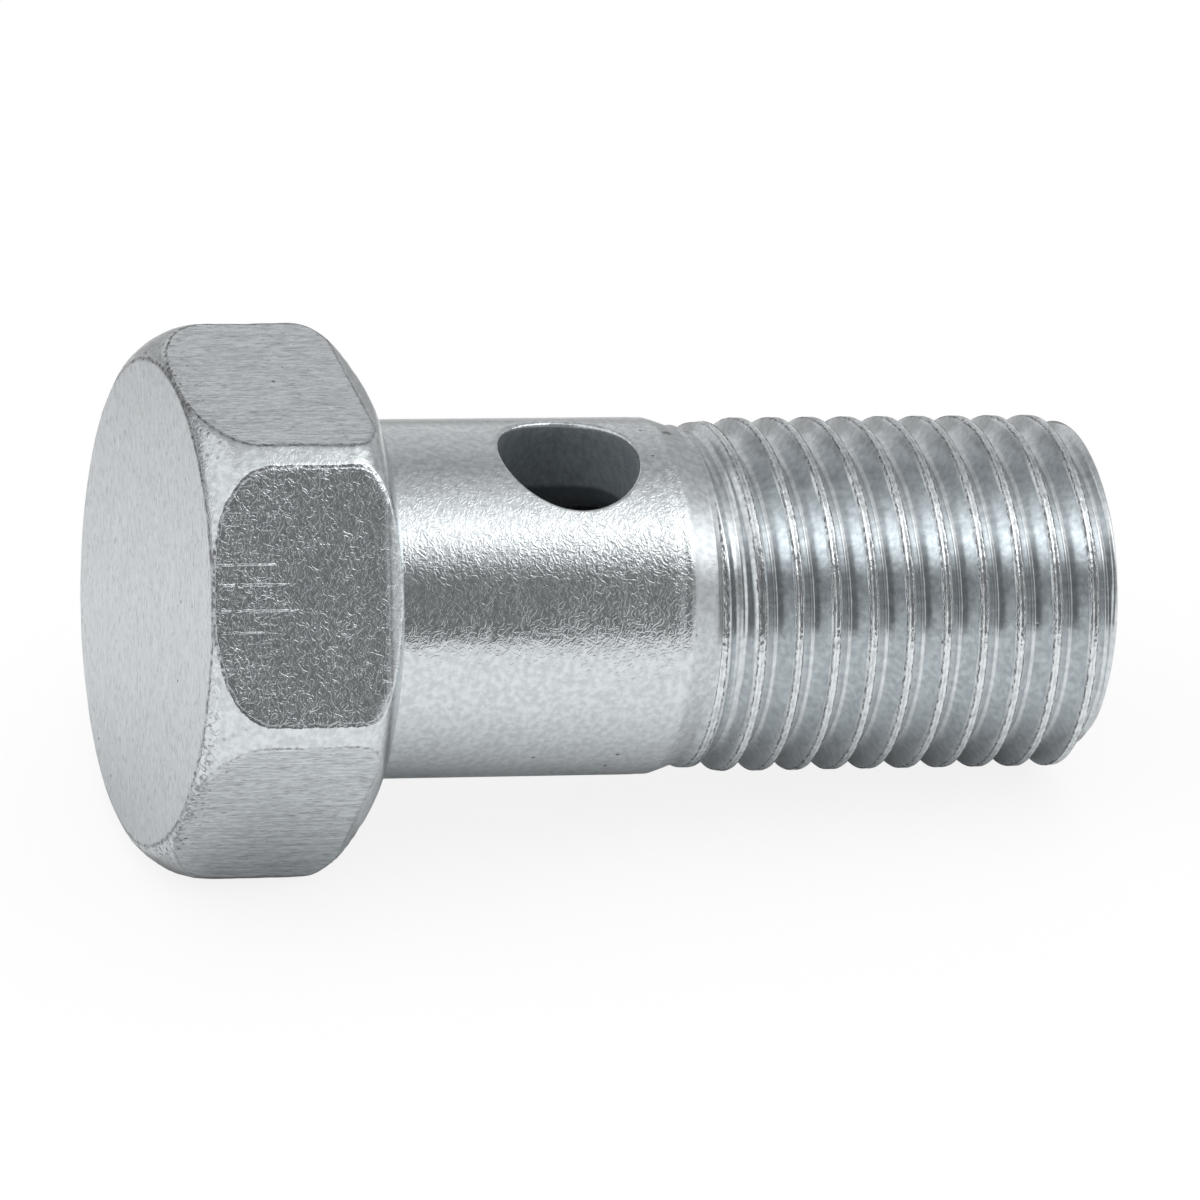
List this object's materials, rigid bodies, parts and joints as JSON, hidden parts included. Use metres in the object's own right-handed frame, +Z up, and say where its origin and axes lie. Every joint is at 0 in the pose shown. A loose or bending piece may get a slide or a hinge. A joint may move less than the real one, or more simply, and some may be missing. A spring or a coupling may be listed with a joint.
{
  "type": "banjo bolt",
  "caption": "Hollow hexagon-head banjo bolt, lying at rest: it clamps a banjo fitting between sealing washers and carries fluid from its cross hole to its threaded tip.",
  "frame": {"origin": "on the ground, under the middle of the box around the bolt as it lies at rest on a flat of its head and the end of its thread", "axes": "+X runs along the bolt from its head towards the thread's tip, which dips 4.99 degrees towards the ground; +Y is to the side, and +Z is up"},
  "size_m": [0.0386, 0.0214, 0.0194],
  "materials": {
    "zinc_plated_steel": "satin"
  },
  "bodies": {
    "root": {"banjo_bolt": "zinc_plated_steel"}
  },
  "joints": []
}
